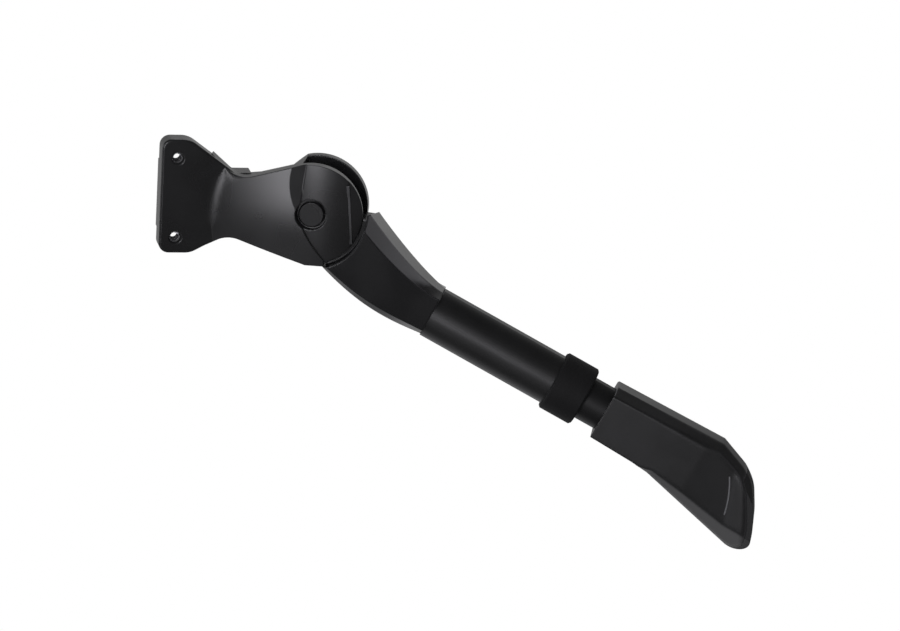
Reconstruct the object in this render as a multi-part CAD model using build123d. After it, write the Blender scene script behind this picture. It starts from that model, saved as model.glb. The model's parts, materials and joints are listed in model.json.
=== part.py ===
from build123d import *

import os
from math import acos, atan2, cos, degrees, hypot, radians, sin, sqrt, tan

# Side stand for a bicycle, bolted to the left chainstay by two screws.
# +Z is up, +X points to the rear wheel and +Y points inboard, to the bicycle.
# The origin is the middle of the two screw holes, on the face that meets the chainstay.
# Lengths are in millimetres and angles in degrees.

# Mounting plate
hole_spacing = 40.0
thread_core_radius = 2.5
thread_mouth_radius = 3.4
plate_thickness = 11.0
plate_above_holes = 7.9
plate_rear_reach = 29.5
plate_front_reach = 28.0
plate_rear_flank = 6.0
plate_front_flank = 8.0
plate_corner_radius = 5.0
plate_flank_radius = 11.0
plate_edge_radius = 1.2
plate_waist_spread = 1.3
flank_overlap = 0.6
channel_height = 33.0
lip_depth = 3.0
lip_height = 3.2
lip_length = 34.0
lower_lip_height = 9.0
lower_lip_overhang = 2.0

# Hinge head, tilted so that the leg stands away from the bicycle
pivot_below_holes = 69.5
pivot_ahead_of_holes = 4.2
pivot_outboard = 12.0
splay_angle = 18.0
cheek_radius = 25.0
head_thickness = 28.0
slot_width = 18.0
waist_rear = (-37.5, 14.6)
waist_front = (-41.0, -13.6)
waist_radius = 14.0
neck_overhang = 0.6
neck_side_depth = 8.0
neck_overlap = 1.0
core_half_width = 14.5
core_slope_length = 20.0
shoulder_length = 7.0
shoulder_slant = 5.0

# Outer face of the hinge head: a domed cheek beside the crowned, bevelled end of the neck
ledge_distance = 19.2
ledge_step = 0.7
ledge_lean = 0.06
dome_radius = 75.0
dome_length_radius = 400.0
dome_middle = (0.0, 4.0)
dome_rise = 1.1
crown_radius = 150.0
crown_length_radius = 300.0
crown_middle = (-13.0, -6.0)
crown_rise = 3.2
bevel_drop = 1.2
bevel_edge = ((-10.9, 22.0), (-8.0, 2.7))
valley = ((-3.5, 25.3), (-5.4, 5.0))
seam = ((-3.5, -7.5), (1.1, -15.1), (7.3, -22.7))

# Pivot
pin_radius = 5.0
pin_head_radius = 6.5
pin_head_thickness = 3.2
pin_head_sink = 2.6
pin_recess_radius = 7.7
pin_chamfer = 0.6
pin_tail = 3.6
ring_thickness = 1.0
ring_radius = 7.4
ring_groove_depth = 0.5
ring_gap_angle = 70.0
pin_washer_radius = 8.5
pin_washer_thickness = 1.0
bush_wall = 1.5
thrust_washer_radius = 11.5
thrust_washer_thickness = 0.9

# Click springs between the bracket and the hub
hub_radius = 18.0
hub_flat_distance = 17.1
leaf_thickness = 0.9
leaf_half_width = 6.0
leaf_half_span = 11.0
leaf_bow_radius = 22.0

# Leg head
leg_angle = -25.4
leg_axis_offset = 17.0
fold_angle = 108.0
web_front_angle = -74.0
web_rear_angle = -4.0
web_root = 3.0
shroud_gap = 2.3
leg_head_length = 76.0
leg_head_start = 8.0
rear_edge_height = 12.4
rear_edge_rise = 18.2
rear_edge_curve = 1.4
rear_bevel = (7.5, 1.6)
front_edge_height = 11.6
front_edge_rise = 6.5
front_edge_bend = (19.4, 60.0)
front_bevel = (2.0, 4.2)
front_side = 11.5
leg_head_start_depth = 16.6
leg_head_end_step = 0.15
leg_head_end_side = 4.4
leg_head_side_curve = 5
tip_station = 25.4
tip_turn = 48.0
tip_slant = 10.4
spigot_length = 15.0

# Outer tube
outer_tube_radius = 13.15
outer_tube_flat = 12.95
outer_tube_wall = 1.7
outer_tube_length = 81.5
roll_pin_radius = 2.0
roll_pin_wall = 0.7
roll_pin_length = 20.0
roll_pin_distance = 8.0

# Locking collar
collar_wall = 2.35
collar_length = 18.0
collar_overlap = 12.5
collar_chamfer = 0.9
collar_pad_length = 11.5
collar_pad_width = 13.0
collar_pad_corner = 2.0
collar_pad_height = 4.0
nut_width = 8.0
nut_thickness = 3.0
nut_depth = 0.4
set_screw_radius = 2.5
set_screw_socket_radius = 1.45
set_screw_socket_depth = 2.5

# Sliding tube
inner_tube_wall = 1.8
inner_tube_exposed = 11.5
inner_tube_hidden = 54.5
inner_tube_in_foot = 49.5
cap_flange = 3.0
cap_plug_length = 10.0

# Foot, measured from the mouth of its sleeve
foot_wall = 2.1
foot_back_height = 14.5
foot_back_length = 60.0
foot_back_rise = 1.2
foot_back_bevel = (2.95, 7.95)
foot_bevel_radius = 1.2
foot_heel_angle = 21.5
foot_heel_turns = (0.0, 14.5)
foot_heel_radius = 27.0
foot_front_height = 12.6
foot_edge_start = (27.0, -13.5)
foot_edge_angle = 16.3
foot_bend_radius = 30.0
foot_sole_middle = (93.3, -12.9)
foot_sole_tilt = 0.9
foot_sole_turn = 6.5
foot_sole_radius = 45.0
foot_toe_radius = 8.0
foot_waist_start = 52.3
foot_waist_depth = 1.6
foot_flange = 14.6
foot_flange_slope = 0.2
foot_edge_bevel = ((34.6, -11.9, 0.0), (72.0, -16.5, 0.0), (58.3, -20.5, -6.0))
foot_bevel_start = ((29.5, -13.3, 0.0), (36.0, -11.8, 0.0), (36.0, -15.0, -4.0))
sole_thickness = 3.0
sole_start = 77.0
sole_step = 0.35
foot_screw_radius = 2.5
foot_screw_head_radius = 4.4
foot_screw_head_thickness = 1.4
foot_screw_distance = 26.0
foot_screw_tip = 4.0

# Fits and cutting
running_clearance = 0.05
seat_clearance = 0.03
sliding_clearance = 0.1
thrust_clearance = 0.1
hub_clearance = 0.6
pocket_clearance = 0.4
stop_gap_angle = 0.7
far = 60.0

# Frames: the mounting face, the hinge with z along the pin to the outboard side, and the leg
mount = Plane(origin=(0, 0, 0), x_dir=(0, 0, -1), z_dir=(0, -1, 0))
splay = radians(splay_angle)
hinge = Plane(
    origin=(-pivot_ahead_of_holes, -pivot_outboard, -pivot_below_holes),
    x_dir=(0, -sin(splay), -cos(splay)),
    z_dir=(0, -cos(splay), sin(splay)),
)
mount_in_hinge = hinge.location.inverse() * mount.location
leg_in_hinge = Rot(0, 0, leg_angle) * Pos(0, -leg_axis_offset, 0)
hinge_in_leg = leg_in_hinge.inverse()

# Levels along the pin, from the middle of the slot
cheek_face = head_thickness / 2
slot_face = slot_width / 2
washer_face = slot_face - thrust_clearance
hub_face = washer_face - thrust_washer_thickness
neck_back = cheek_face - neck_side_depth
pin_head_seat = cheek_face - pin_head_sink
bush_radius = pin_radius + running_clearance + bush_wall
washer_bore = bush_radius - bush_wall / 2

# Stations along the leg, from the foot of the perpendicular dropped from the pivot
tube_start = leg_head_length
tube_end = tube_start + outer_tube_length
collar_start = tube_end - collar_overlap
collar_end = collar_start + collar_length
foot_start = collar_end + inner_tube_exposed
inner_start = tube_end - inner_tube_hidden
inner_end = foot_start + inner_tube_in_foot
clamp_station = collar_start + collar_overlap / 2
roll_pin_station = tube_start + roll_pin_distance
foot_screw_station = foot_start + foot_screw_distance

# Radii of the telescopic tubes, and their flats
bore_radius = outer_tube_radius - outer_tube_wall
bore_flat = outer_tube_flat - outer_tube_wall
inner_radius = bore_radius - sliding_clearance
inner_flat = bore_flat - sliding_clearance
core_radius = inner_radius - inner_tube_wall
core_flat = inner_flat - inner_tube_wall

# Sizes of the pieces that are fitted round the tubes
leg_head_end_depth = outer_tube_radius + leg_head_end_step
collar_radius = outer_tube_radius + collar_wall
foot_half_depth = inner_radius + foot_wall


def polar(radius, angle):
    return (radius * cos(radians(angle)), radius * sin(radians(angle)))


def tangent_point(outside, radius, side):
    """The point where the line from an outside point touches a circle about the pivot."""
    turn = side * degrees(acos(radius / hypot(*outside)))
    return polar(radius, degrees(atan2(outside[1], outside[0])) + turn)


def half_space(point, normal):
    """A large block on the side of a plane that its normal points to."""
    return Plane(origin=point, z_dir=normal).location * Pos(0, 0, 2 * far) * Box(8 * far, 8 * far, 4 * far)


def ring(outer, inner, low, high):
    """A plain ring about the pin, between two levels."""
    return extrude(Pos(0, 0, low) * (Circle(outer) - Circle(inner)), amount=high - low)


def rod(radius, low, high):
    """A plain round bar about the pin, between two levels."""
    return extrude(Pos(0, 0, low) * Circle(radius), amount=high - low)


def double_d(radius, flat):
    """A round section with two flats across the leg."""
    return Circle(radius) & Rectangle(2 * flat, 4 * radius)


def along_leg(section, start, end):
    """Extrudes a section down the leg: its x runs across the leg and its y along the pin."""
    plane = Plane(origin=(start, 0, 0), x_dir=(0, 1, 0), z_dir=(1, 0, 0))
    return extrude(plane * section, amount=end - start)


def wedge(first_angle, last_angle):
    """A wide sector about the pivot, as a flat face."""
    third = (last_angle - first_angle) / 3
    tips = [polar(2 * far, first_angle + third * step) for step in range(4)]
    return make_face(Polyline((0, 0), *tips, close=True))


def from_mount(down, rear):
    """A point of the plate's outer face, in the plan of the hinge."""
    point = hinge.to_local_coords(mount.from_local_coords(Vector(down, rear, plate_thickness)))
    return Vector(point.X, point.Y)


def to_mount(x, y):
    """The point of the plate's outer face that lies at x and y in the plan of the hinge."""
    return ((x - from_mount(0, 0).X) / cos(splay), y - pivot_ahead_of_holes)


def mounting_plate():
    """The flat end of the bracket, with the two lips that hold it straight on the chainstay."""
    waist_top = to_mount(*waist_rear)
    waist_low = to_mount(*waist_front)
    corners = [
        (-plate_above_holes, plate_rear_reach),
        (plate_rear_flank, plate_rear_reach),
        (waist_top[0], waist_top[1] + plate_waist_spread),
        waist_low,
        (plate_front_flank, -plate_front_reach),
        (-plate_above_holes, -plate_front_reach),
    ]
    radii = [plate_corner_radius, plate_flank_radius, 0, 0, plate_flank_radius, plate_corner_radius]
    plate = extrude(make_face(FilletPolyline(*corners, radius=radii, close=True)), amount=plate_thickness)
    plate = fillet(plate.edges().group_by(Axis.Z)[-1], plate_edge_radius)
    upper_lip = Pos(lip_height / 2 - plate_above_holes, 0, 0) * Box(lip_height, lip_length, 2 * lip_depth)
    lower_start = lip_height - plate_above_holes + channel_height
    lower_length = waist_top[1] + lower_lip_overhang - waist_low[1]
    lower_plan = Rectangle(lower_lip_height, lower_length, align=(Align.MIN, Align.MIN))
    lower_lip = extrude(Pos(lower_start, waist_low[1], -lip_depth) * lower_plan, amount=plate_thickness)
    return mount_in_hinge * (plate + upper_lip + lower_lip)


def neck_outline(lower_end):
    """The neck from the plate to the round head, in the plan of the hinge."""
    rear, front = Vector(*waist_rear), Vector(*waist_front)
    corners = [
        rear + (from_mount(plate_rear_flank, plate_rear_reach) - rear) * flank_overlap,
        rear,
        tangent_point(waist_rear, cheek_radius, -1),
        *lower_end,
        front,
        front + (from_mount(plate_front_flank, -plate_front_reach) - front) * flank_overlap,
    ]
    radii = [0, waist_radius, 0, *(0 for point in lower_end), waist_radius, 0]
    return make_face(FilletPolyline(*corners, radius=radii, close=True)) + Circle(cheek_radius)


def crown_girth(along):
    """Radius of the barrel that the neck's outer face is a part of, at a distance along the neck."""
    return crown_radius - crown_length_radius + sqrt(crown_length_radius**2 - along**2)


def crown_level(x, y):
    """Level of the neck's outer face over a point of the hinge's plan."""
    girth = crown_girth(x - crown_middle[0])
    return cheek_face + crown_rise - crown_radius + sqrt(girth**2 - (y - crown_middle[1]) ** 2)


def crown_barrel():
    """The barrel, which lies along the neck."""
    end = crown_girth(far)
    side = Polyline((far, end), (far, 0), (-far, 0), (-far, end))
    profile = make_face(side + ThreePointArc((-far, end), (0, crown_radius), (far, end)))
    barrel = revolve(Plane.XZ * profile, axis=Axis.X)
    return Pos(*crown_middle, cheek_face + crown_rise - crown_radius) * barrel


def dome_level(x):
    """Level of the dome over its middle line, at a distance along the neck."""
    return cheek_face + dome_rise - dome_radius + sqrt(dome_radius**2 - (x - dome_middle[0]) ** 2)


def outer_face():
    """The outboard half of the neck and cheek: dome, ledge and crowned, bevelled neck."""
    touch = tangent_point(waist_front, cheek_radius, 1)
    low = -cheek_radius - neck_overhang
    corner = touch[0] + (low - touch[1]) / (touch[1] - waist_front[1]) * (touch[0] - waist_front[0])
    outline = neck_outline([touch])
    neck_plan = neck_outline([(cheek_radius / 2, low), (corner, low)])
    level = Pos(0, 0, neck_back)
    dome_centre = (*dome_middle, cheek_face + dome_rise - dome_length_radius)
    dome_ring = Rot(0, 90, 0) * Torus(dome_length_radius - dome_radius, dome_radius)
    dome = Pos(*dome_centre) * dome_ring
    ledge_wall = half_space((ledge_distance, 0, dome_level(ledge_distance) - ledge_step), (1, ledge_lean, 1))
    neck_side = make_face(
        Polyline((seam[2][0], -2 * far), (-2 * far, -2 * far), (-2 * far, 2 * far), (valley[0][0], 2 * far))
        + Polyline((valley[0][0], 2 * far), valley[0], valley[1], seam[0])
        + ThreePointArc(*seam)
        + Line(seam[2], (seam[2][0], -2 * far))
    )
    cheek = extrude(level * (outline - neck_side), amount=far)
    domed = (cheek & dome) - ledge_wall
    ledge = cheek & (Pos(0, 0, -ledge_step) * dome)
    rear_end, front_end = (Vector(*point, crown_level(*point)) for point in bevel_edge)
    bevel_floor = Vector(*valley[0], crown_level(*valley[0]) - bevel_drop)
    bevel = half_space(rear_end, (front_end - rear_end).cross(bevel_floor - rear_end))
    crowned = (extrude(level * (neck_plan & neck_side), amount=far) & crown_barrel()) - bevel
    return domed + ledge + crowned


def inner_side():
    """The inboard half: the second cheek with its slanted shoulder, and the core of the neck."""
    cheek_side = Polyline(
        (-shoulder_length - shoulder_slant, neck_back + neck_overlap),
        (2 * cheek_radius, neck_back + neck_overlap),
        (2 * cheek_radius, -cheek_face),
        (-shoulder_length, -cheek_face),
        close=True,
    )
    cheek = extrude(Plane.XZ * make_face(cheek_side), amount=2 * cheek_radius, both=True)
    cheek = cheek & Cylinder(cheek_radius, 2 * head_thickness)
    back = mount_in_hinge * Location((to_mount(*waist_rear)[0], 0, 0))
    core_side = Polyline(
        (waist_front[0], neck_back + neck_overlap),
        (back.position.X, back.position.Z),
        (back.position.X + core_slope_length, -cheek_face),
        (0, -cheek_face),
        (0, neck_back + neck_overlap),
        close=True,
    )
    core = extrude(Plane.XZ * make_face(core_side), amount=core_half_width, both=True)
    return cheek + core


def leaf_ring(index):
    """The outer and inner radius of one of the nested click springs."""
    outer = leaf_bow_radius - index * (leaf_thickness + seat_clearance)
    return outer, outer - leaf_thickness


def leaf_centre():
    return -hub_flat_distance - running_clearance - leaf_bow_radius


def leaf_floor():
    """The floor of the spring pocket, where the ends of the outer spring rest."""
    return leaf_centre() + sqrt(leaf_ring(1)[1] ** 2 - leaf_half_span**2) - seat_clearance


def detent_leaf(index):
    outer, inner = leaf_ring(index)
    span = Pos(outer, 0, 0) * Rectangle(2 * outer, 2 * leaf_half_span)
    bow = (Circle(outer) - Circle(inner)) & span
    return extrude(Pos(leaf_centre(), 0, 0) * bow, amount=leaf_half_width, both=True)


def hinge_slot():
    """The slot that the leg turns in, with its two stops and the pocket of the click springs."""
    first = web_front_angle - stop_gap_angle
    last = web_rear_angle + fold_angle + stop_gap_angle
    slot = extrude(wedge(first, last), amount=slot_face, both=True)
    slot += Cylinder(hub_radius + hub_clearance, slot_width)
    pocket_width = 2 * (leaf_half_span + pocket_clearance)
    pocket = Rectangle(-leaf_floor(), pocket_width, align=(Align.MAX, Align.CENTER))
    return slot + extrude(pocket, amount=leaf_half_width + pocket_clearance, both=True)


def screw_holes():
    """The tapped holes of the plate, each with a countersunk mouth."""
    mouth = thread_mouth_radius - thread_core_radius
    hole = rod(thread_core_radius, -plate_thickness, 2 * plate_thickness)
    hole += Pos(0, 0, plate_thickness - mouth / 2) * Cone(thread_core_radius, thread_mouth_radius, mouth)
    hole += rod(thread_mouth_radius, plate_thickness, 2 * plate_thickness)
    return [Pos(0, side * hole_spacing / 2, 0) * hole for side in (-1, 1)]


def mounting_bracket():
    body = outer_face() + inner_side() + mounting_plate()
    body -= hinge_slot()
    body -= rod(pin_radius + running_clearance, -2 * head_thickness, 2 * head_thickness)
    body -= rod(pin_recess_radius, pin_head_seat, 2 * head_thickness)
    for hole in screw_holes():
        body -= mount_in_hinge * hole
    return body


# Levels of the washer and retaining ring on the pin's inboard end
washer_back = -cheek_face - pin_washer_thickness
ring_top = washer_back - seat_clearance
ring_back = ring_top - ring_thickness


def pivot_pin():
    head_top = pin_head_seat + pin_head_thickness
    pin = rod(pin_head_radius, pin_head_seat, head_top) + rod(pin_radius, -cheek_face - pin_tail, head_top)
    pin = chamfer(pin.edges().group_by(Axis.Z)[-1], pin_chamfer)
    pin = chamfer(pin.edges().group_by(Axis.Z)[0], pin_chamfer)
    groove_floor = pin_radius - ring_groove_depth
    return pin - ring(pin_head_radius, groove_floor, ring_back - seat_clearance, ring_top + seat_clearance)


def pin_washer():
    return ring(pin_washer_radius, pin_radius + running_clearance, washer_back, -cheek_face)


def pin_retaining_ring():
    inner = pin_radius - ring_groove_depth + seat_clearance
    gap = extrude(wedge(-ring_gap_angle / 2, ring_gap_angle / 2), amount=2 * head_thickness, both=True)
    return ring(ring_radius, inner, ring_back, ring_top) - gap


def pivot_bush():
    return ring(bush_radius, pin_radius + running_clearance, -hub_face, hub_face)


def thrust_washer(side):
    low, high = sorted((side * hub_face, side * washer_face))
    return ring(thrust_washer_radius, washer_bore, low, high)


def rear_edge(station):
    """Height of the leg head's rear edge above the leg's axis."""
    share = (leg_head_length - station) / (leg_head_length - cheek_radius)
    return rear_edge_height + rear_edge_rise * share**rear_edge_curve


def front_edge(station):
    """Height of the leg head's front edge, which lies below the leg's axis."""
    upper, lower = front_edge_bend
    share = max(0, (lower - station) / (lower - upper))
    return front_edge_rise * share**2 - front_edge_height


def leg_head_section(station):
    """An eight-sided section of the leg head, whose bevels narrow towards the tube."""
    share = station / leg_head_length
    depth = leg_head_start_depth + (leg_head_end_depth - leg_head_start_depth) * share
    side = slot_face + (leg_head_end_side - slot_face) * share**leg_head_side_curve
    low_side = front_side + (leg_head_end_side - front_side) * share**leg_head_side_curve
    rear, front = rear_edge(station), front_edge(station)
    rear_foot = rear - rear_bevel[0] - (rear_bevel[1] - rear_bevel[0]) * share**2
    front_foot = front + front_bevel[0] + (front_bevel[1] - front_bevel[0]) * share
    corners = [(rear, side), (rear_foot, depth), (front_foot, depth), (front, low_side)]
    mirrored = [(across, -level) for across, level in reversed(corners)]
    plane = Plane(origin=(station, 0, 0), x_dir=(0, 1, 0), z_dir=(1, 0, 0))
    return plane * make_face(Polyline(*corners, *mirrored, close=True))


def hub():
    """The knuckle between the cheeks, with a flat for each of the two positions of the leg."""
    body = Cylinder(hub_radius, 2 * hub_face)
    flat = Pos(hub_flat_distance + far, 0, 0) * Box(2 * far, 2 * far, 2 * far)
    for angle in (180, 180 - fold_angle):
        body -= Rot(0, 0, angle) * flat
    web_plan = wedge(web_front_angle, web_rear_angle) & Circle(cheek_radius + shroud_gap + web_root)
    return body + extrude(web_plan, amount=hub_face, both=True)


def leg_head():
    steps = 5
    span = leg_head_length - leg_head_start
    sections = [leg_head_section(leg_head_start + span * step / steps) for step in range(steps + 1)]
    body = loft(sections)
    body -= hinge_in_leg * Cylinder(cheek_radius + shroud_gap, 2 * head_thickness)
    tip = (tip_station, rear_edge(tip_station), slot_face)
    body -= half_space(tip, (*polar(1, 90 + tip_turn), -tan(radians(tip_slant))))
    body += hinge_in_leg * hub()
    body -= hinge_in_leg * rod(bush_radius + seat_clearance, -head_thickness, head_thickness)
    spigot = double_d(bore_radius - seat_clearance, bore_flat - seat_clearance)
    body += along_leg(spigot, tube_start - web_root, tube_start + spigot_length)
    return body - roll_pin_hole()


def roll_pin_hole():
    """The hole that the spring pin is driven into, from the tube's inboard side."""
    hole = rod(roll_pin_radius + seat_clearance, -outer_tube_radius, roll_pin_length - outer_tube_radius)
    return Pos(roll_pin_station, 0, 0) * hole


def outer_tube():
    tube = along_leg(double_d(outer_tube_radius, outer_tube_flat), tube_start, tube_end)
    tube -= along_leg(double_d(bore_radius, bore_flat), tube_start, tube_end)
    tube -= roll_pin_hole()
    return tube - Pos(clamp_station, 0, 0) * rod(set_screw_radius + pocket_clearance, -2 * far, 0)


def tube_roll_pin():
    """A rolled spring pin, split along one side."""
    low = running_clearance - outer_tube_radius
    high = roll_pin_length - outer_tube_radius - running_clearance
    pin = ring(roll_pin_radius, roll_pin_radius - roll_pin_wall, low, high)
    slit = Pos(roll_pin_radius, 0, 0) * Box(2 * roll_pin_radius, roll_pin_wall, 4 * far)
    return Pos(roll_pin_station, 0, 0) * (pin - slit)


# Levels of the clamping nut, which lies in the collar's inboard pad
nut_top = -outer_tube_radius - nut_depth
nut_back = nut_top - nut_thickness
pad_back = -collar_radius - collar_pad_height


def lock_collar():
    body = along_leg(Circle(collar_radius), collar_start, collar_end)
    body = chamfer(body.edges().filter_by(GeomType.CIRCLE), collar_chamfer)
    pad = RectangleRounded(collar_pad_length, collar_pad_width, collar_pad_corner)
    body += extrude(Pos(clamp_station, 0, pad_back) * pad, amount=-pad_back)
    tube = double_d(outer_tube_radius + seat_clearance, outer_tube_flat + seat_clearance)
    body -= along_leg(tube, collar_start, tube_end)
    neck = double_d(inner_radius + sliding_clearance, inner_flat + sliding_clearance)
    body -= along_leg(neck, collar_start, collar_end)
    pocket = Rectangle(nut_width + 2 * seat_clearance, nut_width + 2 * seat_clearance)
    body -= extrude(Pos(clamp_station, 0, nut_back - seat_clearance) * pocket, amount=-nut_back)
    return body - Pos(clamp_station, 0, 0) * rod(set_screw_radius + pocket_clearance, -2 * far, 0)


def collar_nut():
    body = extrude(Pos(0, 0, nut_back) * Rectangle(nut_width, nut_width), amount=nut_thickness)
    return Pos(clamp_station, 0, 0) * (body - rod(set_screw_radius + seat_clearance, -2 * far, 0))


def collar_screw():
    """A set screw whose tip bears on the sliding tube."""
    screw = rod(set_screw_radius, pad_back, -inner_radius - running_clearance)
    screw = chamfer(screw.edges().filter_by(GeomType.CIRCLE), pin_chamfer)
    socket = Pos(0, 0, pad_back) * RegularPolygon(set_screw_socket_radius, 6)
    return Pos(clamp_station, 0, 0) * (screw - extrude(socket, amount=set_screw_socket_depth))


def inner_tube():
    tube = along_leg(double_d(inner_radius, inner_flat), inner_start, inner_end)
    tube -= along_leg(double_d(core_radius, core_flat), inner_start, inner_end)
    return tube - Pos(foot_screw_station, 0, 0) * rod(foot_screw_radius + seat_clearance, -2 * far, 0)


def inner_tube_cap():
    cap = along_leg(double_d(inner_radius, inner_flat), inner_start - cap_flange, inner_start)
    plug = double_d(core_radius - seat_clearance, core_flat - seat_clearance)
    return cap + along_leg(plug, inner_start, inner_start + cap_plug_length)


def meet(first, first_angle, second, second_angle):
    """The point where two lines in the plan of the leg meet, each given by a point and an angle."""
    across = polar(1, second_angle + 90)
    along = polar(1, first_angle)
    gap = (second[0] - first[0]) * across[0] + (second[1] - first[1]) * across[1]
    step = gap / (along[0] * across[0] + along[1] * across[1])
    return (first[0] + step * along[0], first[1] + step * along[1])


def inset(point, angle, distance):
    """A point moved to the right of a line that runs through it."""
    return (point[0] + distance * sin(radians(angle)), point[1] - distance * cos(radians(angle)))


# Lines of the foot's outline, as a point and the angle at which the outline passes it
back_end = (foot_back_length, foot_back_height + foot_back_rise)
back_angle = degrees(atan2(foot_back_rise, foot_back_length))
sole_angle = -leg_angle - foot_sole_tilt - 90
heel_line = (back_end, -foot_heel_angle)
upper_sole_line = (foot_sole_middle, sole_angle + foot_sole_turn)
lower_sole_line = (foot_sole_middle, sole_angle - foot_sole_turn)
front_edge_line = (foot_edge_start, -foot_edge_angle)


def foot_outline():
    """The foot and its sole seen along the pin."""
    corners = [
        (0, foot_back_height),
        back_end,
        meet(*heel_line, *upper_sole_line),
        foot_sole_middle,
        meet(*lower_sole_line, *front_edge_line),
        foot_edge_start,
        (0, -foot_front_height),
    ]
    radii = [0, 0, foot_heel_radius, foot_sole_radius, foot_toe_radius, foot_bend_radius, 0]
    return make_face(FilletPolyline(*corners, radius=radii, close=True))


def heel_centre():
    """The middle of the heel's arc."""
    lines = []
    for point, angle in (heel_line, upper_sole_line):
        lines += [inset(point, angle, foot_heel_radius), angle]
    return meet(*lines)


def sole_normal():
    """Unit direction out of the sole, in the plan of the leg."""
    return polar(1, sole_angle + 90)


def above_plane(points):
    """The space outboard of a plane through three points given from the foot's outer face."""
    first, second, third = (Vector(x, y, foot_half_depth + z) for x, y, z in points)
    return half_space(first, (third - first).cross(second - first))


def foot_form():
    """The foot with its sole: bevelled back, waisted sides, flared flange and bevelled front edge."""
    body = extrude(foot_outline(), amount=foot_half_depth, both=True)
    back_run, back_drop = foot_back_bevel
    corners = [(0, foot_half_depth - back_drop), (-back_run, foot_half_depth), (-2 * far, foot_half_depth)]
    mirrored = [(across, -level) for across, level in reversed(corners)]
    radii = [0, foot_bevel_radius, 0, 0, foot_bevel_radius, 0]
    section = make_face(FilletPolyline(*corners, *mirrored, radius=radii, close=True))
    bevelled_back = along_leg(section, -2 * far, 2 * far)
    body &= Pos(0, foot_back_height, 0) * Rot(0, 0, back_angle) * bevelled_back
    centre = heel_centre()
    for turn in foot_heel_turns:
        angle = -foot_heel_angle - turn
        touch = inset(centre, angle, -foot_heel_radius)
        body &= Pos(*touch, 0) * Rot(0, 0, angle) * bevelled_back
    normal = sole_normal()
    groove = Vector(*foot_sole_middle) - Vector(*normal) * foot_flange
    waist_length = groove.X - foot_waist_start
    waist = half_space((foot_waist_start, 0, foot_half_depth), (foot_waist_depth / waist_length, 0, 1))
    flange_normal = (-foot_flange_slope * normal[0], -foot_flange_slope * normal[1], 1)
    waist &= half_space((groove.X, groove.Y, foot_half_depth - foot_waist_depth), flange_normal)
    bevel = above_plane(foot_edge_bevel) & above_plane(foot_bevel_start)
    for cut in (waist, bevel):
        body -= cut
        body -= mirror(cut, about=Plane.XY)
    return body


def sole_form():
    """The sole: what lies past the foot's outline drawn back by the sole's thickness."""
    normal = sole_normal()
    inside = extrude(foot_outline(), amount=2 * foot_half_depth, both=True)
    inside = Pos(-sole_thickness * normal[0], -sole_thickness * normal[1], 0) * inside
    return (foot_form() - inside) & half_space((sole_start, 0, 0), (1, 0, 0))


def foot_screw_seat():
    return foot_screw_head_thickness - foot_half_depth


def foot():
    body = Pos(foot_start, 0, 0) * (foot_form() - sole_form())
    bore = double_d(inner_radius + seat_clearance, inner_flat + seat_clearance)
    body -= along_leg(bore, foot_start, inner_end + seat_clearance)
    body -= Pos(foot_screw_station, 0, 0) * rod(foot_screw_radius + pocket_clearance, -2 * far, 0)
    head = foot_screw_head_radius + pocket_clearance
    return body - Pos(foot_screw_station, 0, 0) * rod(head, -2 * far, foot_screw_seat())


def sole_pad():
    thin = 2 * (foot_half_depth - sole_step)
    return Pos(foot_start, 0, 0) * (sole_form() & Box(8 * far, 4 * far, thin))


def foot_screw():
    head = rod(foot_screw_head_radius, -foot_half_depth, foot_screw_seat())
    head = chamfer(head.edges().group_by(Axis.Z)[0], pin_chamfer)
    socket = Pos(0, 0, -foot_half_depth) * RegularPolygon(set_screw_socket_radius, 6)
    head -= extrude(socket, amount=foot_screw_head_thickness / 2)
    shank = rod(foot_screw_radius, foot_screw_seat(), foot_screw_tip - inner_radius)
    return Pos(foot_screw_station, 0, 0) * (head + shank)


hinge_pieces = {
    "mounting_bracket": mounting_bracket(),
    "pivot_pin": pivot_pin(),
    "pin_washer": pin_washer(),
    "pin_retaining_ring": pin_retaining_ring(),
    "detent_leaf_inner": detent_leaf(0),
    "detent_leaf_outer": detent_leaf(1),
    "pivot_bush": pivot_bush(),
    "thrust_washer_outboard": thrust_washer(1),
    "thrust_washer_inboard": thrust_washer(-1),
}
leg_pieces = {
    "leg_head": leg_head(),
    "outer_tube": outer_tube(),
    "tube_roll_pin": tube_roll_pin(),
    "lock_collar": lock_collar(),
    "collar_nut": collar_nut(),
    "collar_screw": collar_screw(),
    "inner_tube": inner_tube(),
    "inner_tube_cap": inner_tube_cap(),
    "foot": foot(),
    "sole_pad": sole_pad(),
    "foot_screw": foot_screw(),
}

os.makedirs("parts", exist_ok=True)
for name, piece in hinge_pieces.items():
    export_step(hinge.location * piece, f"parts/{name}.step")
for name, piece in leg_pieces.items():
    export_step(hinge.location * leg_in_hinge * piece, f"parts/{name}.step")
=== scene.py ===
# %% [markdown]
# # A side stand for a bicycle
# A cast bracket bolts to the chainstay by two screws. It carries a hinge that the leg folds on,
# and a foot slides out of the leg and is locked by a collar. Almost every piece comes from the
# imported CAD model, so this lesson is mostly about what turns plain solids into painted castings,
# anodised tube, moulded plastic and rubber: finishes, light and a camera. Four small pieces are
# added at the end: two threads, a narrow land and a fine line.

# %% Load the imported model
import json
from math import cos, pi, radians, sin, tan

import bmesh
import bpy
from mathutils import Matrix, Vector


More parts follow.
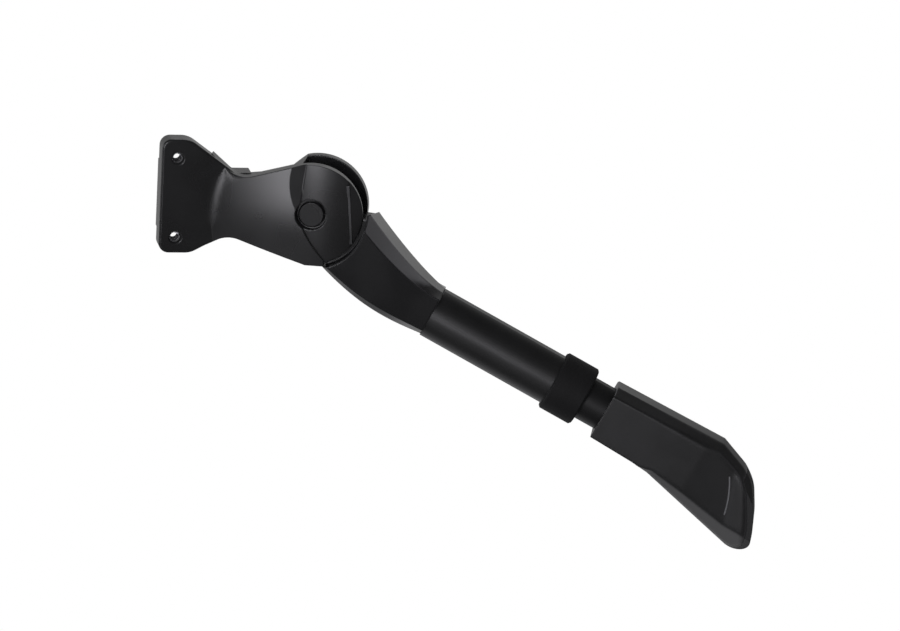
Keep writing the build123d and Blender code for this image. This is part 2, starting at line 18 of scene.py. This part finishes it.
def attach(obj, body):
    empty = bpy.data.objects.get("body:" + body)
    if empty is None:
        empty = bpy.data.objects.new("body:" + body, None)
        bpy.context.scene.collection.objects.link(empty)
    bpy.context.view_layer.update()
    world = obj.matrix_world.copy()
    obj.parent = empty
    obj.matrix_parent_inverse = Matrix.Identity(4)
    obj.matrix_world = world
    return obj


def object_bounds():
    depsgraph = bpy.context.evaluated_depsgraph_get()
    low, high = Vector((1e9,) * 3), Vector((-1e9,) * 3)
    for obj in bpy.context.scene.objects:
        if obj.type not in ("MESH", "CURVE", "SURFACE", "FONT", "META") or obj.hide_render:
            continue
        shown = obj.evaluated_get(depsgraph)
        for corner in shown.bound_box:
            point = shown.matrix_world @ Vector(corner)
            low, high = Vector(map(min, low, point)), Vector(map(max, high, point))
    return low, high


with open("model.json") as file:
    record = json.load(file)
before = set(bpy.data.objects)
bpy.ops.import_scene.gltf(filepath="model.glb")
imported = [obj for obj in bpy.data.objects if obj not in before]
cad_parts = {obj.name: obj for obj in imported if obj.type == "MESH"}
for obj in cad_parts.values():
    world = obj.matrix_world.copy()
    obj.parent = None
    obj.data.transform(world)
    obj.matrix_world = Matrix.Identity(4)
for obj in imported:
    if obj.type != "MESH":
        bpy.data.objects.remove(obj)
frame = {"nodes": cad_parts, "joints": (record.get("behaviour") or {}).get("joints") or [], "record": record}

cad_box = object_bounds()
print("CAD box:", [tuple(round(v, 4) for v in corner) for corner in cad_box])

# %% [markdown]
# ## Camera
# The stand was photographed lying on its side: the picture's upper edge is the stand's rear
# side, and its left edge is the top. A camera can be turned by hand until it fits, but three
# axes say it exactly: where the picture's right and its upper edge point, and where the camera
# stands. A long lens far away keeps the leg from tapering.

# %% Camera axes
PICTURE_WIDTH = 900
FOCAL_LENGTH_PIXELS = 3654
SENSOR_WIDTH = 36
CAMERA_REACH = 20
CAMERA_PLACE = Vector((0.4300, -1.7475, 0.2406))
PICTURE_RIGHT = Vector((0.05804, -0.19875, -0.97834)).normalized()
PICTURE_UP = Vector((0.96235, 0.27182, 0.00186)).normalized()
TOWARDS_CAMERA = PICTURE_RIGHT.cross(PICTURE_UP)


def facing(right, up, place):
    """The place and turn of a camera or lamp, which looks along its own -Z."""
    turn = Matrix((right, up, right.cross(up))).transposed()
    return Matrix.Translation(place) @ turn.to_4x4()


camera_data = bpy.data.cameras.new("studio_camera")
camera_data.sensor_width = SENSOR_WIDTH
camera_data.lens = FOCAL_LENGTH_PIXELS / PICTURE_WIDTH * SENSOR_WIDTH
camera_data.clip_end = CAMERA_REACH
camera = bpy.data.objects.new("studio_camera", camera_data)
camera.matrix_world = facing(PICTURE_RIGHT, PICTURE_UP, CAMERA_PLACE)
bpy.context.scene.collection.objects.link(camera)
bpy.context.scene.camera = camera
bpy.context.scene.view_settings.view_transform = "Standard"
print("camera lens:", round(camera_data.lens, 1), "mm")

# %% [markdown]
# ## Helpers for node trees
# Materials, the world and shared effects are all node trees. A few small functions that add a
# node and fill its inputs, with numbers or with other nodes' outputs, keep every recipe below
# as short as its idea.


# %% Node helpers
def fill(tree, node, inputs):
    """Gives a node's inputs their numbers, or links them to other nodes' outputs."""
    for socket, value in inputs.items():
        if isinstance(value, bpy.types.NodeSocket):
            tree.links.new(value, node.inputs[socket])
        else:
            node.inputs[socket].default_value = value


def add_node(tree, kind, inputs=None, **settings):
    """Adds a node, gives it its settings and fills its inputs."""
    node = tree.nodes.new(kind)
    for name, value in settings.items():
        setattr(node, name, value)
    fill(tree, node, inputs or {})
    return node


def maths(tree, operation, *values):
    """The result of one sum, as a socket that other nodes can take."""
    inputs = dict(enumerate(values))
    return add_node(tree, "ShaderNodeMath", inputs, operation=operation).outputs[0]


def vectors(tree, operation, *values, result="Value"):
    """The result of one sum of vectors, which is a number or another vector."""
    inputs = dict(enumerate(values))
    return add_node(tree, "ShaderNodeVectorMath", inputs, operation=operation).outputs[result]


def ranged(tree, value, low, high, start=0.0, end=1.0):
    """A value moved smoothly from one range to another, and held at both ends."""
    inputs = {"Value": value, "From Min": low, "From Max": high, "To Min": start, "To Max": end}
    node = add_node(tree, "ShaderNodeMapRange", inputs, interpolation_type="SMOOTHSTEP")
    return node.outputs["Result"]


print("helpers:", ", ".join(helper.__name__ for helper in (fill, add_node, maths, vectors, ranged)))

# %% [markdown]
# ## Studio
# Black paint shows its shape by what it mirrors. The studio is dark except for the lamps and for
# the white sweep behind the stand, so faces turned to the camera stay black and faces seen at a
# low angle take the white of the sweep, as they do in a product picture. The camera, from
# wherever it looks, sees white.

# %% World
WHITE = (1, 1, 1, 1)
ROOM_LIGHT = 0.40
DARK_SIDE, WHITE_SIDE = 0.13, 0.42
SWEEP_EDGE = (-0.90, -0.55)
world = bpy.data.worlds.new("studio_world")
bpy.context.scene.world = world
world.use_nodes = True
room = world.node_tree
room.nodes.clear()
ray = add_node(room, "ShaderNodeLightPath").outputs
direction = add_node(room, "ShaderNodeTexCoord").outputs["Generated"]
depth = vectors(room, "DOT_PRODUCT", direction, TOWARDS_CAMERA)
mirrored = ranged(room, depth, *SWEEP_EDGE, WHITE_SIDE, DARK_SIDE)
seen_directly = maths(room, "MAXIMUM", ray["Is Camera Ray"], ray["Is Transmission Ray"])
seen = maths(room, "MAXIMUM", seen_directly, ray["Is Glossy Ray"])
backdrop = maths(room, "MAXIMUM", seen_directly, mirrored)
shown = add_node(room, "ShaderNodeBackground", {"Color": WHITE, "Strength": backdrop})
ambient = add_node(room, "ShaderNodeBackground", {"Color": WHITE, "Strength": ROOM_LIGHT})
mix = add_node(room, "ShaderNodeMixShader", {0: seen, 1: ambient.outputs[0], 2: shown.outputs[0]})
add_node(room, "ShaderNodeOutputWorld", {"Surface": mix.outputs[0]})
print("world:", world.name, "with ambient light", ROOM_LIGHT)

# %% [markdown]
# A round tube is a mirror ball in one direction: each line along it mirrors another angle, so
# the bright band on it tells where the main softbox stands. It is a tall strip to the left of the
# lens. A weak one lower on the left keeps the undersides from going flat. A small one stands
# close by on the right, for the slanted rear face of the leg head. One overhead, which is the
# picture's left, puts a shadow on the floor, and two behind serve the views from the bicycle's
# side. Each place is given in degrees right and up from the lens, and each size as the degrees
# that it fills, because that is what a mirror shows. An area lamp's power is its brightness times
# its area times pi, so the brightness is written and the power follows. The light has a trace of
# blue, as flash tubes do.

# %% Softboxes
CENTRE = (cad_box[0] + cad_box[1]) / 2
FLASH_COLOUR = (0.96, 0.95, 1.0)


def softbox(name, right_angle, up_angle, distance, wide_angle, high_angle, brightness):
    """A soft lamp that looks at the stand, as many degrees right and up of the lens."""
    across, above = radians(right_angle), radians(up_angle)
    towards = PICTURE_RIGHT * sin(across) * cos(above) + PICTURE_UP * sin(above)
    towards += TOWARDS_CAMERA * cos(across) * cos(above)
    right = PICTURE_UP.cross(towards).normalized()
    lamp = bpy.data.lights.new(name, "AREA")
    lamp.shape = "RECTANGLE"
    lamp.size = 2 * distance * tan(radians(wide_angle / 2))
    lamp.size_y = 2 * distance * tan(radians(high_angle / 2))
    lamp.energy = brightness * pi * lamp.size * lamp.size_y
    lamp.color = FLASH_COLOUR
    holder = bpy.data.objects.new(name, lamp)
    holder.matrix_world = facing(right, towards.cross(right), CENTRE + towards * distance)
    holder.visible_camera = False
    bpy.context.scene.collection.objects.link(holder)
    print(name, "power", round(lamp.energy, 2), "W")
    return holder


# name, degrees right and up, distance, degrees wide and high, brightness
softbox("main_softbox", -14.5, -3, 2.2, 13, 35, 8.5)
softbox("low_softbox", -42, -41, 2.0, 40, 12, 0.7)
small = softbox("small_softbox", 85, 33, 0.40, 50, 30, 2.0)
softbox("top_softbox", -90, 10, 1.6, 32, 32, 2.5)
softbox("rear_softbox", -146, -46, 2.0, 45, 40, 0.42)
softbox("back_softbox", 172, 60, 1.5, 26, 26, 1.6)

# %% [markdown]
# In a studio a black card beside the small softbox would keep its light off the tube and the
# foot, whose rear sides are dark. Light linking does what the card does: the lamp gets a
# collection of the objects that it lights, and only the leg head is in it.

# %% Card beside the small softbox
lit = bpy.data.collections.new("lit_by_small_softbox")
lit.objects.link(frame["nodes"]["leg_head"])
small.light_linking.receiver_collection = lit

# %% [markdown]
# The stand hangs by its bolts, so the floor lies well below the foot, with room for the small
# lamp. Near the stand it is pale and matt, and it takes the soft shadow. Further out it turns
# into plain white, so that no edge shows against the white room. Glossy faces mirror it too.
# Behind the stand they find it white, which draws the long slanted faces of the leg and the
# foot. In front, where the dark room begins, they find it dark.

# %% Floor
FLOOR_GAP, FLOOR_SIZE = 0.25, 3.0
FLOOR_GREY = (0.86, 0.86, 0.86, 1)
FLOOR_NEAR_GLOW = 0.75
FLOOR_FADE = (0.12, 0.48)
MIRROR_EDGE, MIRROR_DARK, MIRROR_WHITE = (0.10, 0.70), 0.10, 0.65
floor_material = bpy.data.materials.new("pale_floor")
floor_material.use_nodes = True
tree = floor_material.node_tree
tree.nodes.clear()
matt = add_node(tree, "ShaderNodeBsdfDiffuse", {"Color": FLOOR_GREY})
spot = add_node(tree, "ShaderNodeTexCoord").outputs["Object"]
whiteness = ranged(tree, vectors(tree, "LENGTH", spot), *FLOOR_FADE, FLOOR_NEAR_GLOW, 1.0)
behind = add_node(tree, "ShaderNodeSeparateXYZ", {0: spot}).outputs["Y"]
mirrored = ranged(tree, behind, *MIRROR_EDGE, MIRROR_DARK, MIRROR_WHITE)
path = add_node(tree, "ShaderNodeLightPath").outputs
watched = maths(tree, "MAXIMUM", path["Is Camera Ray"], path["Is Transmission Ray"])
strength = maths(tree, "MAXIMUM", watched, mirrored)
share = maths(tree, "MULTIPLY_ADD", watched, whiteness, path["Is Glossy Ray"])
glow = add_node(tree, "ShaderNodeEmission", {"Color": WHITE, "Strength": strength})
blend = add_node(tree, "ShaderNodeMixShader", {0: share, 1: matt.outputs[0], 2: glow.outputs[0]})
add_node(tree, "ShaderNodeOutputMaterial", {"Surface": blend.outputs[0]})
bpy.ops.mesh.primitive_plane_add(size=FLOOR_SIZE, location=(0, 0, cad_box[0].z - FLOOR_GAP))
floor = bpy.context.object
floor.name = "floor"
floor.data.materials.append(floor_material)
print("floor at", round(floor.location.z, 3))

# %% [markdown]
# ## Shared effects
# A casting never has a knife edge: paint gathers on a small radius and that radius catches the
# light. Bevelling every edge of the mesh is one way, but a Bevel node rounds the shading
# without touching the CAD mesh. It also tells where an edge is, because there the rounded
# normal departs from the flat one.


# %% Effect: soft edges
def new_effect(name, inputs, outputs):
    """An empty node group: inputs have a name, a kind and a value, outputs a name and a kind."""
    group = bpy.data.node_groups.new(name, "ShaderNodeTree")
    for title, kind, value in inputs:
        socket = group.interface.new_socket(title, in_out="INPUT", socket_type=kind)
        socket.default_value = value
    for title, kind in outputs:
        group.interface.new_socket(title, in_out="OUTPUT", socket_type=kind)
    return group, group.nodes.new("NodeGroupInput").outputs, group.nodes.new("NodeGroupOutput")


EDGE_SAMPLES = 8
EDGE_LIKENESS = (0.98, 0.75)
soft_edges, start, end = new_effect(
    "soft_edges",
    [("Radius", "NodeSocketFloat", 0.0006)],
    [("Normal", "NodeSocketVector"), ("Edge", "NodeSocketFloat")],
)
rounded = {"Radius": start["Radius"]}
rounded = add_node(soft_edges, "ShaderNodeBevel", rounded, samples=EDGE_SAMPLES).outputs[0]
flat = add_node(soft_edges, "ShaderNodeNewGeometry").outputs["Normal"]
likeness = vectors(soft_edges, "DOT_PRODUCT", rounded, flat)
fill(soft_edges, end, {"Normal": rounded, "Edge": ranged(soft_edges, likeness, *EDGE_LIKENESS)})
print("effect:", soft_edges.name)

# %% [markdown]
# Paint, anodising and moulded plastic differ in the grain they leave: orange peel, fine matt
# speckle or spark-eroded pebble. All are noise at some size, so one effect with a size and a
# depth serves them all. Tone is a second, wider noise that breaks up the even colour.


# %% Effect: grain
def noise(tree, place, scale, detail):
    """Noise between 0 and 1, looked up at a place."""
    inputs = {"Vector": place, "Scale": scale, "Detail": detail}
    return add_node(tree, "ShaderNodeTexNoise", inputs).outputs["Fac"]


FINE_DETAIL, WIDE_DETAIL = 3.0, 1.0
NOISE_RANGE = (0.3, 0.7)
grain, start, end = new_effect(
    "surface_grain",
    [("Size", "NodeSocketFloat", 0.0005), ("Spread", "NodeSocketFloat", 0.02)],
    [("Height", "NodeSocketFloat"), ("Tone", "NodeSocketFloat")],
)
place = add_node(grain, "ShaderNodeTexCoord").outputs["Object"]
fine = noise(grain, place, maths(grain, "DIVIDE", 1.0, start["Size"]), FINE_DETAIL)
wide = noise(grain, place, maths(grain, "DIVIDE", 1.0, start["Spread"]), WIDE_DETAIL)
fill(grain, end, {"Height": fine, "Tone": ranged(grain, wide, *NOISE_RANGE)})
print("effect:", grain.name)

# %% [markdown]
# Light does not reach the bottom of a seam, so seams read as thin dark lines: around the pin, at
# the foot of the domed cheek, where the tube enters the collar. An Ambient Occlusion node with a
# reach of half a millimetre finds just these places, and the finishes lose most of their gloss
# there. That is painted shade, on top of the shade that the lamps give.

# %% Effect: seams
SEAM_SAMPLES = 8
SEAM_OPENING, SEAM_GLOSS = (0.20, 0.70), 0.2
seams, start, end = new_effect(
    "painted_seam_shade",
    [("Reach", "NodeSocketFloat", 0.0005)],
    [("Open", "NodeSocketFloat")],
)
hollow = {"Distance": start["Reach"]}
hollow = add_node(seams, "ShaderNodeAmbientOcclusion", hollow, samples=SEAM_SAMPLES).outputs["AO"]
fill(seams, end, {"Open": ranged(seams, hollow, *SEAM_OPENING, SEAM_GLOSS, 1.0)})
print("effect:", seams.name)

# %% [markdown]
# ## Finishes
# All the dark finishes follow one recipe: two near blacks mixed by the wide tone, a paler
# colour on the edges that paints the highlight they catch, roughness that wanders a little, grain
# in the normal over the soft edges, and little gloss in the seams, which paints their shade. What
# differs is in the numbers, so they are a table.

# %% Dark finishes
# A Mix node has sockets for every kind of value, and these are the colours'
COLOUR_A, COLOUR_B, COLOUR_RESULT = 6, 7, 2
ROUGHNESS_SPREAD = 0.012
# a paler grey for the edges: a painted edge highlight
PAINTED_EDGE_HIGHLIGHT = (0.030, 0.030, 0.032, 1)


def mixed(tree, factor, first, second):
    """A colour between two others, each given as numbers or as a socket."""
    inputs = {0: factor, COLOUR_A: first, COLOUR_B: second}
    return add_node(tree, "ShaderNodeMix", inputs, data_type="RGBA").outputs[COLOUR_RESULT]


def dark_finish(name, dark, light, rough, specular, grain_size, grain_depth, radius):
    """A painted, anodised or moulded black with soft edges and a fine grain."""
    material = bpy.data.materials.new(name)
    material.use_nodes = True
    tree = material.node_tree
    edges = add_node(
        tree, "ShaderNodeGroup", {"Radius": radius}, node_tree=soft_edges, name="edges"
    ).outputs
    speckle = add_node(tree, "ShaderNodeGroup", {"Size": grain_size}, node_tree=grain).outputs
    tone = speckle["Tone"]
    coat = mixed(tree, tone, dark, light)
    # little gloss in the seams: painted shade
    opening = add_node(tree, "ShaderNodeGroup", node_tree=seams).outputs["Open"]
    relief = {"Height": speckle["Height"], "Normal": edges["Normal"], "Distance": grain_depth}
    bump = add_node(tree, "ShaderNodeBump", relief, name="grain_bump").outputs["Normal"]
    fill(tree, tree.nodes["Principled BSDF"], {
        # the edges take the paler grey, a painted highlight
        "Base Color": mixed(tree, edges["Edge"], coat, PAINTED_EDGE_HIGHLIGHT),
        "Specular IOR Level": maths(tree, "MULTIPLY", opening, specular),
        "Roughness": ranged(tree, tone, 0, 1, rough - ROUGHNESS_SPREAD, rough + ROUGHNESS_SPREAD),
        "Normal": bump,
    })
    return material


INK, BLACK = (0.0045, 0.0045, 0.005, 1), (0.0065, 0.0065, 0.007, 1)
SOOT = (0.009, 0.009, 0.0098, 1)
# two paler greys that paint highlights on the land and on the foot's line
PAINTED_HIGHLIGHT_GREY, PAINTED_HIGHLIGHT_PALE = (0.045, 0.045, 0.048, 1), (0.13, 0.13, 0.138, 1)
EDGE_RADIUS, SLEEVE_RADIUS = 0.0008, 0.0010
# name, darkest and lightest colour, roughness, specular, grain size and depth, edge radius
dark_table = [
    ("bracket_paint", BLACK, SOOT, 0.28, 0.5, 0.0006, 0.000002, EDGE_RADIUS),
    ("leg_paint", INK, BLACK, 0.22, 0.32, 0.0006, 0.000002, 0.0012),
    ("tube_finish", INK, BLACK, 0.38, 0.5, 0.0004, 0.000002, 0.0004),
    ("inner_tube_finish", INK, BLACK, 0.45, 0.3, 0.0004, 0.000003, 0.0004),
    ("black_steel", INK, BLACK, 0.27, 0.3, 0.0008, 0.000006, 0.0003),
    ("washer_plastic", INK, BLACK, 0.50, 0.5, 0.0005, 0.000004, 0.0002),
    ("collar_plastic", INK, BLACK, 0.70, 0.25, 0.0004, 0.00002, 0.0004),
    ("foot_plastic", BLACK, SOOT, 0.33, 0.5, 0.0004, 0.000003, SLEEVE_RADIUS),
    ("sole_rubber", BLACK, SOOT, 0.55, 0.5, 0.0005, 0.00002, 0.0006),
    # paler paint for the land: a painted highlight
    ("land_painted_highlight", SOOT, PAINTED_HIGHLIGHT_GREY, 0.28, 0.5, 0.0006, 0.000002, 0.0001),
    # paler plastic for the line on the foot: a painted highlight
    ("line_painted_highlight", PAINTED_HIGHLIGHT_GREY, PAINTED_HIGHLIGHT_PALE, 0.33, 0.5, 0.0004, 0.000003, 0.0001),
]
finishes = {row[0]: dark_finish(*row) for row in dark_table}
print("dark finishes:", ", ".join(finishes))

# %% [markdown]
# The plate and the neck meet in a shallow valley that the casting rounds with a generous radius,
# and that radius mirrors the lamp as a bright arc. The Bevel node takes its radius from a socket,
# so the bracket's paint can have a wide radius at the valley and a small one on its other edges.

# %% Valley of the bracket
VALLEY_HEIGHT, VALLEY_REACH = -0.0195, 0.014
VALLEY_SIDE = (0.009, 0.016)
VALLEY_RADIUS = 0.0065
tree = finishes["bracket_paint"].node_tree
spot = add_node(tree, "ShaderNodeTexCoord").outputs["Object"]
spot = add_node(tree, "ShaderNodeSeparateXYZ", {0: spot}).outputs
away = maths(tree, "ABSOLUTE", maths(tree, "SUBTRACT", spot["Z"], VALLEY_HEIGHT))
sideways = maths(tree, "ABSOLUTE", spot["X"])
level = ranged(tree, away, VALLEY_REACH / 2, VALLEY_REACH, VALLEY_RADIUS - EDGE_RADIUS, 0)
inside = ranged(tree, sideways, *VALLEY_SIDE, 1, 0)
radius = maths(tree, "MULTIPLY_ADD", level, inside, EDGE_RADIUS)
fill(tree, tree.nodes["edges"], {"Radius": radius})
print("valley radius", VALLEY_RADIUS * 1000, "mm")

# %% [markdown]
# The foot is moulded: its sleeve has crisp edges for the tube, and further down the pressed-in
# waist runs out into the flange in long soft blends. How far a place lies along the leg is the
# dot product with the direction that the foot slides in, and it sets the radius here.

# %% Waist of the foot
joints = {joint["name"]: joint for joint in frame["joints"]}
LEG_AXIS = Vector(joints["leg_extend"]["axis"]).normalized()
WAIST_BLEND, WAIST_RADIUS = (0.248, 0.300), 0.0045


def along_leg(tree):
    """The place on the piece, and how far that place lies along the leg."""
    spot = add_node(tree, "ShaderNodeTexCoord").outputs["Object"]
    return spot, vectors(tree, "DOT_PRODUCT", spot, LEG_AXIS)


tree = finishes["foot_plastic"].node_tree
spot, along = along_leg(tree)
radius = ranged(tree, along, *WAIST_BLEND, SLEEVE_RADIUS, WAIST_RADIUS)
fill(tree, tree.nodes["edges"], {"Radius": radius})
print("blend radius at the waist", WAIST_RADIUS * 1000, "mm")

# %% [markdown]
# The tubes are drawn through a die, which leaves hair lines along them that the anodising keeps.
# Noise that is pressed together across the leg and stretched along it gives such lines: most of
# the way along the leg is taken off the place before the noise looks it up. The outer tube gets
# them. The sliding tube is duller and does without.

# %% Drawn lines of the outer tube
HAIR_WIDTH, HAIR_STRETCH, HAIR_DEPTH = 0.0005, 0.97, 0.0000015
HAIR_ROUGHNESS = (0.35, 0.43)
tree = finishes["tube_finish"].node_tree
spot, along = along_leg(tree)
run = {0: LEG_AXIS, "Scale": maths(tree, "MULTIPLY", along, HAIR_STRETCH)}
run = add_node(tree, "ShaderNodeVectorMath", run, operation="SCALE").outputs["Vector"]
pressed = vectors(tree, "SUBTRACT", spot, run, result="Vector")
hairs = noise(tree, pressed, 1 / HAIR_WIDTH, FINE_DETAIL)
fill(tree, tree.nodes["grain_bump"], {"Distance": HAIR_DEPTH, "Height": hairs})
polish = ranged(tree, hairs, *NOISE_RANGE, *HAIR_ROUGHNESS)
fill(tree, tree.nodes["Principled BSDF"], {"Roughness": polish})
print("lines along", tuple(round(v, 3) for v in LEG_AXIS))

# %% [markdown]
# The hidden steel is zinc plated or left as spring steel, the bush is sintered bronze, and the
# walls of the tapped holes are cut metal. A bare metal has no coat: its colour is the mirror's
# colour, so the recipe is shorter.

# %% Bright metals
METAL_SPREAD = 0.08


def bright_metal(name, colour, stain, rough):
    """A bare metal whose colour and polish wander a little."""
    material = bpy.data.materials.new(name)
    material.use_nodes = True
    tree = material.node_tree
    tone = add_node(tree, "ShaderNodeGroup", node_tree=grain).outputs["Tone"]
    fill(tree, tree.nodes["Principled BSDF"], {
        "Metallic": 1.0,
        "Base Color": mixed(tree, tone, colour, stain),
        "Roughness": ranged(tree, tone, 0, 1, rough - METAL_SPREAD, rough + METAL_SPREAD),
    })
    return material


# name, clean and stained colour, roughness
metal_table = [
    ("plated_steel", (0.62, 0.63, 0.65, 1), (0.52, 0.52, 0.53, 1), 0.33),
    ("spring_steel", (0.36, 0.36, 0.37, 1), (0.28, 0.27, 0.27, 1), 0.40),
    ("bearing_bronze", (0.62, 0.45, 0.25, 1), (0.50, 0.35, 0.19, 1), 0.45),
    ("cut_thread", (0.50, 0.50, 0.52, 1), (0.36, 0.36, 0.37, 1), 0.26),
]
for row in metal_table:
    finishes[row[0]] = bright_metal(*row)
print("bright metals:", ", ".join(row[0] for row in metal_table))

# %% [markdown]
# Every node comes with a plain material that is named after its slot, so most nodes just take the
# finish of that name. Only the sliding tube has a finish of its own: it is anodised a duller
# black than the outer tube, although both belong to one slot.

# %% Give every node its finish
OWN_FINISH = {"inner_tube": "inner_tube_finish"}
for name, node in frame["nodes"].items():
    for material_slot in node.material_slots:
        plain = material_slot.material.name.split(".")[0]
        material_slot.material = finishes[OWN_FINISH.get(name, plain)]
    print(name, "is", node.material_slots[0].material.name)

# %% [markdown]
# ## Threads
# The two holes are tapped after painting, so bare metal shows in them. The CAD model has plain
# holes of the thread's core size. A thread is one ridge wound along the wall, and spinning a
# small triangle while it moves along the axis, as a lathe tool does, makes exactly that.

# %% Thread in each hole
bolts = next(mount for mount in frame["record"]["mounts"] if mount["kind"] == "bolt_pattern")
HOLE_SPACING = bolts["dims"]["spacing_x_mm"] / 1000
HOLE_RADIUS = bolts["dims"]["hole_r_mm"] / 1000
THREAD_PITCH, THREAD_HEIGHT, THREAD_TURNS, TURN_STEPS = 0.001, 0.0005, 9, 24
THREAD_START = -0.0100
THREAD_CREST, THREAD_WIDTH = THREAD_PITCH * 0.45, THREAD_PITCH * 0.9


def add_piece(name, shape, body, finish):
    """Turns a bmesh into a piece that moves with one of the bodies."""
    bmesh.ops.recalc_face_normals(shape, faces=shape.faces)
    mesh = bpy.data.meshes.new(name)
    shape.to_mesh(mesh)
    shape.free()
    mesh.materials.append(finishes[finish])
    piece = bpy.data.objects.new(name, mesh)
    bpy.context.scene.collection.objects.link(piece)
    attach(piece, body)
    print(name, "with", len(mesh.polygons), "faces")


def sweep(shape, corners, **spin):
    """Joins corners to a loop, spins the loop about an axis and closes both ends."""
    count = len(corners)
    sides = [shape.edges.new((corners[index - 1], corners[index])) for index in range(count)]
    bmesh.ops.spin(shape, geom=corners + sides, **spin)
    open_edges = [edge for edge in shape.edges if edge.is_boundary]
    bmesh.ops.holes_fill(shape, edges=open_edges, sides=count)


def thread(name, across):
    """A bright thread wound along one of the holes, which run along Y."""
    shape = bmesh.new()
    corners = [
        shape.verts.new((across + HOLE_RADIUS - height, THREAD_START + along, 0))
        for height, along in ((0, 0), (THREAD_HEIGHT, THREAD_CREST), (0, THREAD_WIDTH))
    ]
    sweep(
        shape,
        corners,
        cent=(across, 0, 0),
        axis=(0, 1, 0),
        dvec=(0, THREAD_PITCH / TURN_STEPS, 0),
        angle=2 * pi * THREAD_TURNS,
        steps=THREAD_TURNS * TURN_STEPS,
    )
    add_piece(name, shape, "bracket", "cut_thread")


for name, side in (("front_thread", -1), ("rear_thread", 1)):
    thread(name, side * HOLE_SPACING / 2)

# %% [markdown]
# ## Land along the ledge
# A pale line runs where the domed cheek drops to the ledge. It may be a narrow flat land, left by
# the edge of the die, that mirrors a lamp. A lamp could be set for it, but that lamp would light
# its neighbours too, so the land is a piece with a paler paint: a painted highlight in place of
# that reflection. It is a bar with slightly rounded edges, laid along the line where the dome
# meets the ledge and sunk into both. Its places are given from the hinge: down the bracket, to the
# rear and outwards, in metres.

# %% Land
HINGE_PLACE = Vector(joints["leg_fold"]["pos_m"])
OUTWARDS = Vector(joints["leg_fold"]["axis"]).normalized()
REARWARDS = Vector((1, 0, 0))
DOWN_BRACKET = REARWARDS.cross(OUTWARDS)
LAND_TOP, LAND_BOTTOM = Vector((0.0171, 0.0156, 0.01305)), Vector((0.0199, -0.0140, 0.0120))
LAND_BEFORE, LAND_AFTER, LAND_PROUD, LAND_DEEP = 0.0006, 0.0010, 0.00014, 0.0012
LAND_EDGE, LAND_EDGE_STEPS, ROUND_PROFILE, SAME_MATERIAL = 0.0001, 2, 0.5, -1


def from_hinge(place):
    """A place in the part's frame, from its distances to the hinge."""
    return HINGE_PLACE + DOWN_BRACKET * place.x + REARWARDS * place.y + OUTWARDS * place.z


shape = bmesh.new()
corners = [
    shape.verts.new(from_hinge(LAND_TOP + Vector((down, 0, out))))
    for down, out in (
        (-LAND_BEFORE, LAND_PROUD),
        (LAND_AFTER, LAND_PROUD),
        (LAND_AFTER, -LAND_DEEP),
        (-LAND_BEFORE, -LAND_DEEP),
    )
]
end_face = shape.faces.new(corners)
grown = bmesh.ops.extrude_face_region(shape, geom=[end_face], use_keep_orig=True)["geom"]
far_corners = [item for item in grown if isinstance(item, bmesh.types.BMVert)]
bmesh.ops.translate(shape, verts=far_corners, vec=from_hinge(LAND_BOTTOM) - from_hinge(LAND_TOP))
bmesh.ops.bevel(
    shape,
    geom=shape.edges[:],
    offset=LAND_EDGE,
    affect="EDGES",
    segments=LAND_EDGE_STEPS,
    profile=ROUND_PROFILE,
    material=SAME_MATERIAL,
)
add_piece("ledge_land", shape, "bracket", "land_painted_highlight")

# %% [markdown]
# ## Line on the foot
# Just before the flange, a fine pale line crosses the face of the foot in a shallow arc. It may
# be the joint that an insert leaves in a moulding, whose crisp edge catches the light. Here it is a
# thin raised bead in a paler plastic, which is a painted highlight. Three places on the face fix
# the circle that it follows, and a small ring spun about that circle's centre makes it.

# %% Line on the foot
ARC_START = Vector((-0.12005, -0.09036, -0.27037))
ARC_MIDDLE = Vector((-0.12950, -0.09023, -0.27082))
ARC_END = Vector((-0.14040, -0.08960, -0.26949))
BEAD_RADIUS, BEAD_CORNERS, BEAD_STEPS = 0.0004, 8, 16


def circle_centre(start, middle, end):
    """The centre of the circle through three places."""
    chord, lean = start - end, middle - end
    across = chord.cross(lean)
    offset = (lean * chord.length_squared - chord * lean.length_squared).cross(across)
    return end + offset / (2 * across.length_squared)


arc_centre = circle_centre(ARC_START, ARC_MIDDLE, ARC_END)
first, last = ARC_START - arc_centre, ARC_END - arc_centre
arc_axis = first.cross(last).normalized()
shape = bmesh.new()
ring = []
for index in range(BEAD_CORNERS):
    turn = 2 * pi * index / BEAD_CORNERS
    away = first.normalized() * cos(turn) + arc_axis * sin(turn)
    ring.append(shape.verts.new(ARC_START + away * BEAD_RADIUS))
sweep(shape, ring, cent=arc_centre, axis=arc_axis, angle=first.angle(last), steps=BEAD_STEPS)
for face in shape.faces:
    face.smooth = len(face.verts) < BEAD_CORNERS  # its two ends stay flat
add_piece("foot_line", shape, "extension", "line_painted_highlight")
